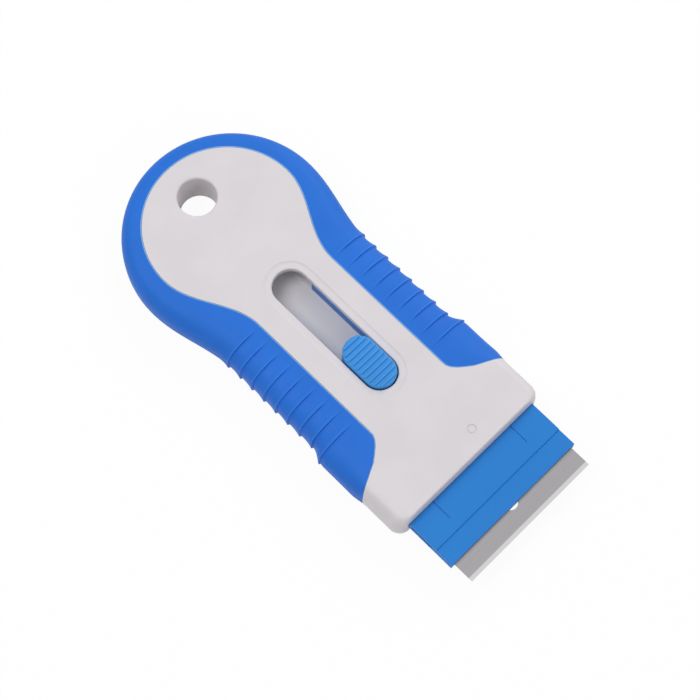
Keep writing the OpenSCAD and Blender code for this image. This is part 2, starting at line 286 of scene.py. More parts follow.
def new_object(name, verts, faces):
    mesh = bpy.data.meshes.new(name)
    mesh.from_pydata([tuple(v) for v in verts], [], faces)
    mesh.update()
    piece = bpy.data.objects.new(name, mesh)
    bpy.context.scene.collection.objects.link(piece)
    return piece


def loft(name, rings):
    """A closed solid through rings that have the same number of points."""
    n = len(rings[0])
    verts = [p for ring in rings for p in ring]
    faces = [list(range(n)), [(len(rings) - 1) * n + i for i in range(n)]]
    for j in range(len(rings) - 1):
        for i in range(n):
            k = (i + 1) % n
            faces.append([j * n + i, j * n + k, (j + 1) * n + k, (j + 1) * n + i])
    piece = new_object(name, verts, faces)
    work = bmesh.new()
    work.from_mesh(piece.data)
    bmesh.ops.recalc_face_normals(work, faces=work.faces)
    work.to_mesh(piece.data)
    work.free()
    return piece


def at_height(loop, z):
    return [Vector((p.x, p.y, z)) for p in loop]


def upright(name, loop, z0, z1):
    return loft(name, [at_height(loop, z0), at_height(loop, z1)])


def block(x0, x1, y0, y1, z0, z1):
    loop = [Vector((x0, y0)), Vector((x1, y0)), Vector((x1, y1)), Vector((x0, y1))]
    return upright("block", loop, z0, z1)


def side_block(side, near, far, y0, y1, z0, z1):
    """A block between two distances from the middle, on one side of it."""
    x0, x1 = sorted((side * near, side * far))
    return block(x0, x1, y0, y1, z0, z1)


def circle(x, y, r, steps=64):
    angles = [2 * pi * i / steps for i in range(steps)]
    return [Vector((x + r * cos(a), y + r * sin(a))) for a in angles]


def stadium(y_mid, long, wide, steps=32):
    loop = []
    for end in (0, 1):
        for i in range(steps + 1):
            a = pi * end + pi * i / steps
            shift = (long - wide) / 2 * (1 if end == 0 else -1)
            loop.append(Vector((wide / 2 * cos(a), y_mid + shift + wide / 2 * sin(a))))
    return loop


def combine(piece, operation, tools):
    """Joins, cuts or intersects a piece with tools, which are then removed."""
    for tool in tools:
        change = piece.modifiers.new(operation, "BOOLEAN")
        change.object = tool
        change.operation = operation
        change.solver = "MANIFOLD"
    bake(piece)
    for tool in tools:
        bpy.data.objects.remove(tool)
    return piece


def bake(piece):
    """Turns a piece's modifiers into its plain mesh."""
    graph = bpy.context.evaluated_depsgraph_get()
    mesh = bpy.data.meshes.new_from_object(piece.evaluated_get(graph))
    piece.modifiers.clear()
    piece.data = mesh
    return piece


def soften(piece, width, angle=50):
    """Flat faces are merged and the sharp edges of a moulding are rounded."""
    work = bmesh.new()
    work.from_mesh(piece.data)
    bmesh.ops.remove_doubles(work, verts=work.verts, dist=merge_gap)
    bmesh.ops.dissolve_limit(work, angle_limit=radians(merge_angle), verts=work.verts, edges=work.edges)
    work.to_mesh(piece.data)
    work.free()
    bevel = piece.modifiers.new("edges", "BEVEL")
    bevel.width = width
    bevel.segments = 2
    bevel.limit_method = "ANGLE"
    bevel.angle_limit = radians(angle)
    return bake(piece)


def smooth(piece, angle=30):
    piece.data.polygons.foreach_set("use_smooth", [True] * len(piece.data.polygons))
    piece.data.set_sharp_from_angle(angle=radians(angle))
    weigh = piece.modifiers.new("normals", "WEIGHTED_NORMAL")
    weigh.keep_sharp = True
    return bake(piece)


def place(piece, material, body, slot, *nodes):
    piece.data.materials.clear()
    piece.data.materials.append(material)
    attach(piece, body)
    if nodes:
        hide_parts(*nodes)


# Node trees

def feed(tree, value, socket):
    """Sets a socket to a number or links it to another node's output."""
    if isinstance(value, (int, float)):
        socket.default_value = value
    else:
        tree.links.new(value, socket)


def calc(tree, operation, *values):
    node = tree.nodes.new("ShaderNodeMath")
    node.operation = operation
    for value, socket in zip(values, node.inputs):
        feed(tree, value, socket)
    return node.outputs[0]


def vector(tree, *values):
    node = tree.nodes.new("ShaderNodeCombineXYZ")
    for value, socket in zip(values, node.inputs):
        feed(tree, value, socket)
    return node.outputs[0]


def new_tree(name, sockets):
    """A geometry tree with named inputs and a material, and its inputs and outputs."""
    tree = bpy.data.node_groups.new(name, "GeometryNodeTree")
    every = [("Geometry", "NodeSocketGeometry"), *sockets, ("Material", "NodeSocketMaterial")]
    for label, kind in every:
        tree.interface.new_socket(label, in_out="INPUT", socket_type=kind)
    tree.interface.new_socket("Geometry", in_out="OUTPUT", socket_type="NodeSocketGeometry")
    return tree, tree.nodes.new("NodeGroupInput").outputs, tree.nodes.new("NodeGroupOutput").inputs


def send_out(tree, geometry, material, outputs):
    """Makes the copies real, gives them the material and hands them out."""
    whole = tree.nodes.new("GeometryNodeRealizeInstances")
    coat = tree.nodes.new("GeometryNodeSetMaterial")
    tree.links.new(geometry, whole.inputs["Geometry"])
    tree.links.new(whole.outputs["Geometry"], coat.inputs["Geometry"])
    tree.links.new(material, coat.inputs["Material"])
    tree.links.new(coat.outputs["Geometry"], outputs["Geometry"])


def run_tree(piece, tree, values):
    """Runs a tree on a piece with values for its named inputs and keeps the result as a plain mesh."""
    change = piece.modifiers.new(tree.name, "NODES")
    change.node_group = tree
    for item in tree.interface.items_tree:
        if item.in_out == "INPUT" and item.name in values:
            change[item.identifier] = values[item.name]
    return bake(piece)


# Materials: the detail's scales are in features a metre

plastic_mottle, plastic_patches, plastic_grain = 90, 900, 3800
rubber_mottle, rubber_patches, rubber_grain = 70, 700, 2600
grinding_lines = 1600
mottle_range = (0.35, 0.65)
plastic_tones, rubber_tones = (0.975, 1.015), (0.96, 1.03)
grinding_range = (0.3, 0.7)
patch_range = 0.05
plastic_relief, rubber_relief, steel_relief = 0.05 * MM, 0.06 * MM, 0.01 * MM
plastic_bump, rubber_bump = 0.12, 0.15
grain_detail, grinding_detail = 3, 4
rubber_roughness = (0.45, 0.58)
rubber_gloss, steel_gloss = 0.16, 0.5
# Strength of the painted highlight on the rib crests
crest_highlight_share = 0.7


def finish(name, colour, roughness, metallic=0.0, gloss=0.3):
    material = bpy.data.materials.new(name)
    material.use_nodes = True
    shader = material.node_tree.nodes["Principled BSDF"]
    shader.inputs["Base Color"].default_value = (*colour, 1)
    shader.inputs["Roughness"].default_value = roughness
    shader.inputs["Metallic"].default_value = metallic
    shader.inputs["Specular IOR Level"].default_value = gloss
    return material, material.node_tree, shader


def noise(tree, scale, detail=2.0, stretch=(1, 1, 1)):
    """Noise in the object's own coordinates; scale is in features a metre."""
    where = tree.nodes.new("ShaderNodeTexCoord")
    turn = tree.nodes.new("ShaderNodeMapping")
    turn.inputs["Scale"].default_value = stretch
    grain = tree.nodes.new("ShaderNodeTexNoise")
    grain.inputs["Scale"].default_value = scale
    grain.inputs["Detail"].default_value = detail
    tree.links.new(where.outputs["Object"], turn.inputs["Vector"])
    tree.links.new(turn.outputs["Vector"], grain.inputs["Vector"])
    return grain.outputs["Fac"]


def tint(tree, factor, low, high, dark, light):
    """A colour that runs from dark to light as the factor goes from low to high."""
    ramp = tree.nodes.new("ShaderNodeValToRGB")
    ramp.color_ramp.elements[0].position = low
    ramp.color_ramp.elements[1].position = high
    ramp.color_ramp.elements[0].color = (*dark, 1)
    ramp.color_ramp.elements[1].color = (*light, 1)
    tree.links.new(factor, ramp.inputs["Fac"])
    return ramp.outputs["Color"]


def spread(tree, factor, low, high):
    reach = tree.nodes.new("ShaderNodeMapRange")
    reach.inputs["To Min"].default_value = low
    reach.inputs["To Max"].default_value = high
    tree.links.new(factor, reach.inputs["Value"])
    return reach.outputs["Result"]


def bump(tree, shader, height, strength, distance):
    dent = tree.nodes.new("ShaderNodeBump")
    dent.inputs["Strength"].default_value = strength
    dent.inputs["Distance"].default_value = distance
    tree.links.new(height, dent.inputs["Height"])
    tree.links.new(dent.outputs["Normal"], shader.inputs["Normal"])


def shade(colour, share):
    return tuple(c * share for c in colour)


def moulded_plastic(name, colour, roughness, gloss):
    """Spark-eroded plastic: a fine grain and a slight unevenness of colour."""
    material, tree, shader = finish(name, colour, roughness, gloss=gloss)
    tones = [shade(colour, share) for share in plastic_tones]
    mottle = tint(tree, noise(tree, plastic_mottle), *mottle_range, *tones)
    tree.links.new(mottle, shader.inputs["Base Color"])
    patches = noise(tree, plastic_patches)
    tree.links.new(spread(tree, patches, roughness - patch_range, roughness + patch_range),
                   shader.inputs["Roughness"])
    bump(tree, shader, noise(tree, plastic_grain, grain_detail), plastic_bump, plastic_relief)
    return material


def soft_rubber(name, colour, crest_highlight_colour, edge_highlight_colour):
    """Overmoulded rubber: matt and finely grained, with a painted highlight on the rib crests and another
    painted highlight along its feathered edge.
    """
    material, tree, shader = finish(name, colour, 0.5, gloss=rubber_gloss)
    tones = [shade(colour, share) for share in rubber_tones]
    mottle = tint(tree, noise(tree, rubber_mottle), *mottle_range, *tones)
    # Painted highlight: the points along the lip are mixed towards a pale blue
    line = tree.nodes.new("ShaderNodeAttribute")
    line.attribute_name = "edge_highlight_mask"
    crest = tree.nodes.new("ShaderNodeAttribute")
    crest.attribute_name = "crest"
    # Painted highlight: the rib crests are mixed towards a lighter blue
    crest_highlighted = mixed(tree, spread(tree, crest.outputs["Fac"], 0, crest_highlight_share), mottle, crest_highlight_colour)
    tree.links.new(mixed(tree, line.outputs["Fac"], crest_highlighted, edge_highlight_colour), shader.inputs["Base Color"])
    tree.links.new(spread(tree, noise(tree, rubber_patches), *rubber_roughness), shader.inputs["Roughness"])
    bump(tree, shader, noise(tree, rubber_grain, grain_detail), rubber_bump, rubber_relief)
    return material


def ground_steel(name, colour, roughness, along, contrast=0.1):
    """Steel with grinding lines that run one way."""
    material, tree, shader = finish(name, colour, roughness, 1.0, steel_gloss)
    lines = noise(tree, grinding_lines, grinding_detail, along)
    dark, light = shade(colour, 1 - contrast), shade(colour, 1 + contrast / 2)
    tree.links.new(tint(tree, lines, *grinding_range, dark, light), shader.inputs["Base Color"])
    tree.links.new(spread(tree, lines, roughness - contrast / 2, roughness + contrast / 2),
                   shader.inputs["Roughness"])
    bump(tree, shader, lines, contrast, steel_relief)
    return material


def mixed(tree, factor, first, second):
    """Goes from the first, a colour or a node's output, to the second as the factor rises."""
    mix = tree.nodes.new("ShaderNodeMix")
    mix.data_type = "RGBA"
    tree.links.new(factor, mix.inputs["Factor"])
    ends = [socket for socket in mix.inputs if socket.type == "RGBA"]
    for end, colour in zip(ends, (first, second)):
        if isinstance(colour, tuple):
            end.default_value = (*colour, 1)
        else:
            tree.links.new(colour, end)
    return [socket for socket in mix.outputs if socket.type == "RGBA"][0]


def add_bevel(material, colour):
    """The freshly ground strip along the cutting edge is brighter than the rest of the blade."""
    tree = material.node_tree
    shader = tree.nodes["Principled BSDF"]
    where = tree.nodes.new("ShaderNodeTexCoord")
    parts = tree.nodes.new("ShaderNodeSeparateXYZ")
    tree.links.new(where.outputs["Object"], parts.inputs[0])
    edge = tree.nodes.new("ShaderNodeMapRange")
    edge.inputs["From Min"].default_value = blade_high.y - bevel_wide - bevel_blur
    edge.inputs["From Max"].default_value = blade_high.y - bevel_wide + bevel_blur
    tree.links.new(parts.outputs["Y"], edge.inputs["Value"])
    ground = shader.inputs["Base Color"].links[0].from_socket
    tree.links.new(mixed(tree, edge.outputs["Result"], ground, colour), shader.inputs["Base Color"])


grey_plastic = moulded_plastic("grey_plastic", (0.69, 0.655, 0.68), 0.45, 0.25)
# A lighter copy of the grey plastic for the bottom shell, whose floor is seen deep in the slot: painted light
# that brightens that shaded floor
grey_plastic_painted_light = moulded_plastic("grey_plastic_under_painted_light", (0.74, 0.71, 0.725), 0.48, 0.25)
# The rubber's second colour is the painted highlight on the rib crests and its third is the painted highlight
# along the edge
blue_rubber = soft_rubber("blue_rubber", (0.019, 0.158, 0.65), (0.055, 0.26, 0.80), (0.28, 0.52, 0.88))
blue_plastic = moulded_plastic("blue_plastic", (0.020, 0.205, 0.61), 0.42, 0.2)
button_plastic = moulded_plastic("button_plastic", (0.055, 0.31, 0.74), 0.42, 0.25)
blade_steel = ground_steel("blade_steel", (0.295, 0.285, 0.295), 0.4, (0.02, 1, 1), 0.05)
add_bevel(blade_steel, (0.54, 0.535, 0.54))
spine_steel = ground_steel("spine_steel", (0.44, 0.42, 0.43), 0.5, (1, 0.05, 1), 0.03)
screw_steel = ground_steel("screw_steel", (0.55, 0.55, 0.57), 0.3, (1, 1, 0.2))
spring_steel = ground_steel("spring_steel", (0.6, 0.6, 0.62), 0.3, (1, 0.05, 1))


# Handle shells

def form_stations():
    places = even_places(head_middle, nose_front - nose_corner - side_step, side_step)
    return head_stations(head_steps) + [side_station(y) for y in places] + nose_stations(nose_steps)


def core_stations():
    places = even_places(head_middle, tip_place + grip_thick, side_step)
    return head_stations(head_steps) + [side_station(y) for y in places]


def half_form(name, stations, inset, flat_z):
    """One half of the handle's form, with its side set in by inset."""
    rings = []
    for angle in quarter(roll_steps):
        out, high = roll(angle)
        loop = []
        for face, edge in stations:
            reach = (edge - face).length
            loop.append(face + (edge - face) * (1 - inset / reach) * out)
        rings.append(at_height(mirrored(loop), part_z + (flat_z - part_z) * high))
    return loft(name, rings)


def grey_line(y):
    """Where the tip of the grip crosses the rolled edge: a straight line from the bend to the side."""
    bend = flat_half(tip_bend) + grip_gap
    return bend + (nose_half - bend) * (y - tip_bend) / (tip_place - tip_bend)


def grey_prism(out):
    """An upright solid over the grey area, which reaches past the flat face by out."""
    stations = head_stations(head_steps)
    stations += [side_station(y) for y in even_places(head_middle, tip_bend, side_step)]
    side = [face + (edge - face).normalized() * out for face, edge in stations]
    slope = (tip_place - tip_bend) / (nose_half - side[-1].x)
    side.append(Vector((nose_half + over, tip_place + over * slope)))
    side.append(Vector((nose_half + over, nose_front + over)))
    return upright("grey_area", mirrored(side), under_z - over, face_z + over)


def screw_spots():
    return [(s * x, y) for x, y in screw_places for s in (1, -1)]


def column(x, y, r, z0, z1):
    return upright("column", circle(x, y, r, column_steps), z0, z1)


def rounded_bore(r, z_in, z_out, round_r):
    """A bore whose mouth at z_out is rounded; z_in is its plain end."""
    way = 1 if z_out > z_in else -1
    rings = [at_height(circle(0, 0, r), z_in)]
    for a in quarter(bore_steps):
        mouth = circle(0, 0, r + round_r * (1 - cos(a)))
        rings.append(at_height(mouth, z_out - way * round_r * (1 - sin(a))))
    rings.append(at_height(circle(0, 0, r + round_r), z_out + way * over))
    return loft("bore", rings)


def head_pocket(side, z0, z1):
    """Crescent hollow of the head beside the slide's guides, clear of the screw boss."""
    low = asin((channel_half + guide) / head_pocket_radius)
    angles = [low + (pi - 2 * low) * i / column_steps for i in range(column_steps + 1)]
    loop = [Vector((side * head_pocket_radius * sin(a), face_middle - head_pocket_radius * cos(a)))
            for a in angles]
    pocket = upright("pocket", loop, z0, z1)
    x, y = screw_places[0]
    boss = column(side * x, y, boss_radius, z0 - over, z1 + over)
    return combine(pocket, "DIFFERENCE", [boss])


def shell(name, flat_z):
    """One half of the handle: the grey skin and the core that the rubber covers."""
    up = 1 if flat_z > part_z else -1
    deep = grip_thick + shell_gap
    skin = combine(half_form(name, form_stations(), 0, flat_z), "INTERSECT", [grey_prism(shell_gap)])
    core = half_form("core", core_stations(), deep, flat_z - up * deep)
    return combine(skin, "UNION", [core])


def slot_loop(out):
    return stadium(slot_front - slot_long / 2, slot_long + 2 * out, slot_wide + 2 * out)


def slot_cut():
    land = face_z - rim_depth
    rings = [at_height(slot_loop(0), part_z)]
    for a in quarter(edge_steps):
        rings.append(at_height(slot_loop(slot_round * (1 - cos(a))), land - slot_round * (1 - sin(a))))
    rings.append(at_height(slot_loop(slot_round), face_z + over))
    return loft("slot", rings)


def rim_cut():
    return loft("rim", [at_height(slot_loop(rim_width - rim_slope), face_z - rim_depth),
                        at_height(slot_loop(rim_width), face_z - rim_edge),
                        at_height(slot_loop(rim_width + rim_flare), face_z + over)])


def mark_cut():
    x, y = mark_place
    ring = upright("mark", circle(x, y, mark_radius), face_z - mark_depth, face_z + over)
    hub = upright("hub", circle(x, y, mark_radius - mark_line), face_z - 2 * mark_depth, face_z + 2 * over)
    return combine(ring, "DIFFERENCE", [hub])


def lock_notches():
    """Pockets over the slot's sides that the button's nubs rise into at both ends of the travel."""
    inner, outer = button_high.x - nub_wide - notch_gap, button_high.x + notch_gap
    reach = nub_long / 2 + notch_gap
    top = button_low.z + tab_thick + nub_high + lock_rise + notch_gap
    return [side_block(s, inner, outer, y - reach, y + reach, ceiling - over, top)
            for s in (1, -1) for y in (button_middle, button_middle - slide_travel)]


def make_top_shell():
    piece = shell("top_shell_moulding", face_z)
    hollow_half = carrier_high.x + run_gap
    low, front, slide_end = part_z - over, nose_front + over, slide_front + 2 * run_gap
    cuts = [block(-channel_half, channel_half, channel_rear, front, low, nose_ceiling),
            block(-channel_half, channel_half, channel_rear, slide_end, low, ceiling),
            block(-hollow_half, hollow_half, nose_hollow, front, low, nose_ceiling),
            head_pocket(1, low, ceiling), head_pocket(-1, low, ceiling),
            slot_cut(), rim_cut(), mark_cut(),
            rounded_bore(hang_radius, low, face_z, hang_round)]
    cuts += [column(x, y, screw_bore, low, screw_high.z + run_gap) for x, y in screw_spots()]
    cuts += lock_notches()
    place(smooth(combine(piece, "DIFFERENCE", cuts)), grey_plastic, "handle", "grey_plastic", "top_shell")


def make_bottom_shell():
    piece = shell("bottom_shell_moulding", under_z)
    low, top = under_z - over, part_z + over
    cuts = [block(-rail_half, rail_half, channel_rear, nose_front - sill - over, bed, top),
            head_pocket(1, wall, top), head_pocket(-1, wall, top),
            rounded_bore(hang_radius, top, under_z, hang_round)]
    for s in (1, -1):
        cuts.append(side_block(s, channel_half + guide, carrier_high.x - sill,
                               nose_hollow + sill, nose_front - sill, wall, top))
    for x, y in screw_spots():
        cuts.append(column(x, y, screw_bore + screw_bore_gap, low, top))
        cuts.append(column(x, y, screw_head_radius + screw_head_gap, low, screw_seat))
    # The bottom shell takes the lighter copy of the grey, painted light on the slot's shaded floor
    place(smooth(combine(piece, "DIFFERENCE", cuts)), grey_plastic_painted_light, "handle", "grey_plastic", "bottom_shell")


# Soft grip with its ribs

def grip_stations():
    places = even_places(head_middle, rib_first - rib_lead, side_step)
    places += [rib_first + rib_pitch * (i + phase) for i in range(rib_count) for phase in rib_phases]
    places.append(rib_first + rib_pitch * rib_count)
    places += even_places(places[-1], tip_bend, shoulder_step)
    places += even_places(tip_bend, tip_place - tip_short, tip_step)
    return head_stations(head_steps) + [side_station(y) for y in places]


def grip_section(face, edge, flat_z):
    """Ring round the rubber at one station: each point's place, share of the way out, lift and mask for the
    painted edge highlight.
    """
    height = flat_z - part_z
    span = edge - face
    reach = span.length
    start = grip_gap / reach
    if edge.y > tip_bend:
        start = max(start, (grey_line(edge.y) - abs(face.x)) / abs(span.x))
    way = span / reach
    sign = 1 if height > 0 else -1

    def outer(s):
        return part_z + height * max(1 - s ** roll_power, 0) ** (1 / roll_power)

    def point(s, z):
        return Vector((face.x + span.x * s, face.y + span.y * s, z))

    line_end = min(start + lip_width / reach, start + (1 - start) * lip_line_share)
    round_end = min(start + lip_round / reach, start + (1 - start) * lip_round_share)
    depth = min(lip_depth, abs(outer(start) - part_z) * lip_depth_share)
    # The lip's three points carry 1 in the last place, the mask for the painted edge highlight
    ring = [(point(start, outer(start) - sign * depth), 0, Vector(), 1),
            (point(start, outer(start) - sign * depth * lip_upright_share), 0, Vector(), 1),
            (point(round_end, outer(round_end)), 0, Vector(), 1)]
    first = asin(min(line_end ** (roll_power / 2), 1))
    for i in range(grip_levels + 1):
        out, high = roll(first + (pi / 2 - first) * i / grip_levels)
        slope_out = reach * high ** (roll_power - 1)
        slope_up = abs(height) * out ** (roll_power - 1)
        lift = Vector((way.x * slope_up, way.y * slope_up, sign * slope_out)).normalized()
        if i == grip_levels or sign < 0:
            lift = Vector((way.x, way.y, 0))
        share = (out - start) / (1 - start)
        ring.append((point(out, part_z + height * high), share, lift, 0))
    inner_end = max(1 - grip_thick / reach, start + core_share * (1 - start))
    inner_height = height - sign * grip_thick
    last = asin(min((start / inner_end) ** (roll_power / 2), 1))
    for i in range(core_levels + 1):
        out, high = roll(pi / 2 + (last - pi / 2) * i / core_levels)
        ring.append((point(inner_end * out, part_z + inner_height * high), 0, Vector(), 0))
    return ring


def rib_tree():
    """Saw-tooth ribs: the surface lifts slowly towards the blade and drops back at once."""
    sizes = ("First Rib", "Pitch", "Count", "Height", "Rise Share")
    tree, inputs, outputs = new_tree("grip_ribs", [(name, "NodeSocketFloat") for name in sizes])

    def math(operation, *values):
        return calc(tree, operation, *values)

    def attribute(name, kind):
        node = tree.nodes.new("GeometryNodeInputNamedAttribute")
        node.data_type = kind
        node.inputs["Name"].default_value = name
        return [s for s in node.outputs if s.enabled][0]

    along = math("SUBTRACT", attribute("along", "FLOAT"), inputs["First Rib"])
    phase = math("DIVIDE", along, inputs["Pitch"])
    tooth = math("FRACT", phase)
    rise = math("POWER", math("DIVIDE", tooth, inputs["Rise Share"]), rib_curve)
    fall = math("DIVIDE", math("SUBTRACT", 1.0, tooth), math("SUBTRACT", 1.0, inputs["Rise Share"]))
    begun = math("GREATER_THAN", phase, 0.0)
    inside = math("MULTIPLY", begun, math("LESS_THAN", phase, inputs["Count"]))
    fade = tree.nodes.new("ShaderNodeMapRange")
    fade.interpolation_type = "SMOOTHSTEP"
    fade.inputs["From Min"].default_value, fade.inputs["From Max"].default_value = rib_fade
    tree.links.new(attribute("reach", "FLOAT"), fade.inputs["Value"])
    height = math("MULTIPLY", math("MULTIPLY", math("MINIMUM", rise, fall), inside),
                  math("MULTIPLY", fade.outputs["Result"], inputs["Height"]))
    move = tree.nodes.new("ShaderNodeVectorMath")
    move.operation = "SCALE"
    tree.links.new(attribute("lift", "FLOAT_VECTOR"), move.inputs[0])
    tree.links.new(height, move.inputs["Scale"])
    off_crest = math("DIVIDE", math("ABSOLUTE", math("SUBTRACT", tooth, crest_place)), crest_half)
    near = math("MAXIMUM", math("SUBTRACT", 1.0, off_crest), 0.0)
    # Crest mask for the painted highlight that the rubber's material puts on each rib's crest
    crest = tree.nodes.new("GeometryNodeStoreNamedAttribute")
    crest.data_type = "FLOAT"
    crest.domain = "POINT"
    crest.inputs["Name"].default_value = "crest"
    tree.links.new(math("MULTIPLY", math("MULTIPLY", near, inside), fade.outputs["Result"]),
                   crest.inputs["Value"])
    tree.links.new(inputs["Geometry"], crest.inputs["Geometry"])
    shift = tree.nodes.new("GeometryNodeSetPosition")
    tree.links.new(crest.outputs["Geometry"], shift.inputs["Geometry"])
    tree.links.new(move.outputs["Vector"], shift.inputs["Offset"])
    send_out(tree, shift.outputs["Geometry"], inputs["Material"], outputs)
    return tree


ribs = rib_tree()


def make_grip(name, flat_z, node):
    half = grip_stations()
    other = [(Vector((-f.x, f.y)), Vector((-e.x, e.y))) for f, e in half[1:]]
    stations = list(reversed(other)) + half
    sections = [grip_section(f, e, flat_z) for f, e in stations]
    piece = loft(name, [[p[0] for p in ring] for ring in sections])
    points = [p for ring in sections for p in ring]
    fields = {"along": [e.y for f, e in stations for p in sections[0]],
              "reach": [p[1] for p in points],
              "edge_highlight_mask": [p[3] for p in points]}
    for field, values in fields.items():
        numbers = [float(v) for v in values]
        piece.data.attributes.new(field, "FLOAT", "POINT").data.foreach_set("value", numbers)
    lift = [c for p in points for c in p[2]]
    piece.data.attributes.new("lift", "FLOAT_VECTOR", "POINT").data.foreach_set("vector", lift)
    run_tree(piece, ribs, {"First Rib": rib_first, "Pitch": rib_pitch, "Count": float(rib_count),
                           "Height": rib_height, "Rise Share": rib_rise, "Material": blue_rubber})
    place(smooth(piece, angle=40), blue_rubber, "handle", "blue_rubber", node)


# Screws in the underside

def screw_tree():
    """One screw on each point."""
    tree, inputs, outputs = new_tree("shell_screws", [("Screw", "NodeSocketObject")])
    source = tree.nodes.new("GeometryNodeObjectInfo")
    copies = tree.nodes.new("GeometryNodeInstanceOnPoints")
    tree.links.new(inputs["Screw"], source.inputs["Object"])
    tree.links.new(inputs["Geometry"], copies.inputs["Points"])
    tree.links.new(source.outputs["Geometry"], copies.inputs["Instance"])
    send_out(tree, copies.outputs["Instances"], inputs["Material"], outputs)
    return tree


def make_screws():
    def ring(r, z):
        return at_height(circle(0, 0, r, screw_steps), z)

    head_low, tip = screw_low.z, screw_high.z
    rings = [ring(share * screw_head_radius, head_low + z) for share, z in head_profile]
    rings += [ring(screw_head_radius, screw_seat), ring(shank, screw_seat)]
    for i in range(int((tip - screw_seat - thread_pitch) / thread_pitch)):
        z = screw_seat + thread_pitch * (i + 0.5)
        rings += [ring(shank - thread_depth, z), ring(shank, z + thread_pitch / 2)]
    rings += [ring(shank - thread_depth, tip - point_long), ring(shank * point_share, tip)]
    one = loft("screw", rings)
    low, high = head_low - over, head_low + cross_depth
    cross = [block(-cross_arm, cross_arm, -cross_half, cross_half, low, high),
             block(-cross_half, cross_half, -cross_arm, cross_arm, low, high)]
    smooth(combine(one, "DIFFERENCE", cross))
    piece = new_object("screws_underside", [(x, y, 0) for x, y in screw_spots()], [])
    run_tree(piece, screw_tree(), {"Screw": one, "Material": screw_steel})
    bpy.data.objects.remove(one)
    place(piece, screw_steel, "handle", "screw_steel", "shell_screws")


# Blade carrier, button and blade

def behind_button(z0, z1):
    """The gap between the two arms: its front end is hollowed round the slide's round end."""
    gap = block(-rail_half, rail_half, carrier_low.y - over, button_round, z0, z1)
    round_end = upright("round_end", circle(0, button_round, button_wide / 2), z0 - over, z1 + over)
    return combine(gap, "DIFFERENCE", [round_end])


def make_carrier():
    half, front, low, slide_top = carrier_high.x, carrier_high.y, carrier_low.z, carrier_high.z
    channel_end = spine_channel + channel_long
    middle = (spine_low.z + spine_high.z) / 2
    channel_half_high = (spine_high.z - spine_low.z) / 2 + spine_gap
    well = button_low.z - well_depth
    above, past, wide = slide_top + over, front + over, 2 * half
    tab_reach = tab_half + well_gap
    well_loop = stadium(button_middle, button_long + 2 * well_gap, button_wide + 2 * well_gap)
    piece = block(-half, half, carrier_rear, front, low, plate_top)
    neck = block(-slide_half, slide_half, slide_front - over, carrier_rear + over, low, plate_top)
    slide = block(-slide_half, slide_half, carrier_low.y, slide_front, low, slide_top)
    combine(piece, "UNION", [neck, slide])
    cuts = [behind_button(low - over, above),
            block(-half, half, carrier_low.y - over, button_low.y, slide_top - arm_drop, above),
            upright("well", well_loop, well, above),
            block(-tab_pocket, tab_pocket, button_middle - tab_reach, button_middle + tab_reach, well, above),
            block(-spring_half, spring_half, button_middle - spring_reach, button_middle + spring_reach,
                  well - spring_depth, above),
            block(-wide, wide, spine_channel, channel_end,
                  middle - channel_half_high, middle + channel_half_high),
            block(-wide, wide, spine_channel, past, middle - blade_slit, middle + blade_slit),
            block(-wide, wide, channel_end + strip_gap, past, plate_top - strip_depth, plate_top + over)]
    for s in (1, -1):
        cuts.append(side_block(s, groove_place - groove_half, groove_place + groove_half, carrier_rear - over,
                               spine_channel + groove_long, plate_top - groove_depth, plate_top + over))
    soften(combine(piece, "DIFFERENCE", cuts), carrier_edge)
    piece.name = "blade_carrier_moulding"
    place(smooth(piece), blue_plastic, "carrier", "blue_plastic", "blade_carrier")


def ridge_tree():
    """Ridges across the button, each as long as the button is wide there."""
    sizes = ("Pitch", "Middle", "Level", "Half Width", "Straight Half")
    sockets = [("Count", "NodeSocketInt")] + [(name, "NodeSocketFloat") for name in sizes]
    tree, inputs, outputs = new_tree("button_ridges", sockets)

    def math(operation, *values):
        return calc(tree, operation, *values)

    half_row = math("MULTIPLY", inputs["Pitch"], math("DIVIDE", math("SUBTRACT", inputs["Count"], 1), 2))
    first = math("SUBTRACT", inputs["Middle"], half_row)
    row = tree.nodes.new("GeometryNodeMeshLine")
    tree.links.new(inputs["Count"], row.inputs["Count"])
    tree.links.new(vector(tree, 0, first, inputs["Level"]), row.inputs["Start Location"])
    tree.links.new(vector(tree, 0, inputs["Pitch"], 0), row.inputs["Offset"])
    spot = tree.nodes.new("GeometryNodeInputPosition")
    parts = tree.nodes.new("ShaderNodeSeparateXYZ")
    tree.links.new(spot.outputs[0], parts.inputs[0])
    away = math("ABSOLUTE", math("SUBTRACT", parts.outputs["Y"], inputs["Middle"]))
    past = math("MAXIMUM", math("SUBTRACT", away, inputs["Straight Half"]), 0)
    square = math("MULTIPLY", inputs["Half Width"], inputs["Half Width"])
    chord = math("SQRT", math("SUBTRACT", square, math("MULTIPLY", past, past)))
    copies = tree.nodes.new("GeometryNodeInstanceOnPoints")
    tree.links.new(row.outputs["Mesh"], copies.inputs["Points"])
    tree.links.new(inputs["Geometry"], copies.inputs["Instance"])
    tree.links.new(vector(tree, chord, 1, 1), copies.inputs["Scale"])
    send_out(tree, copies.outputs["Instances"], inputs["Material"], outputs)
    return tree


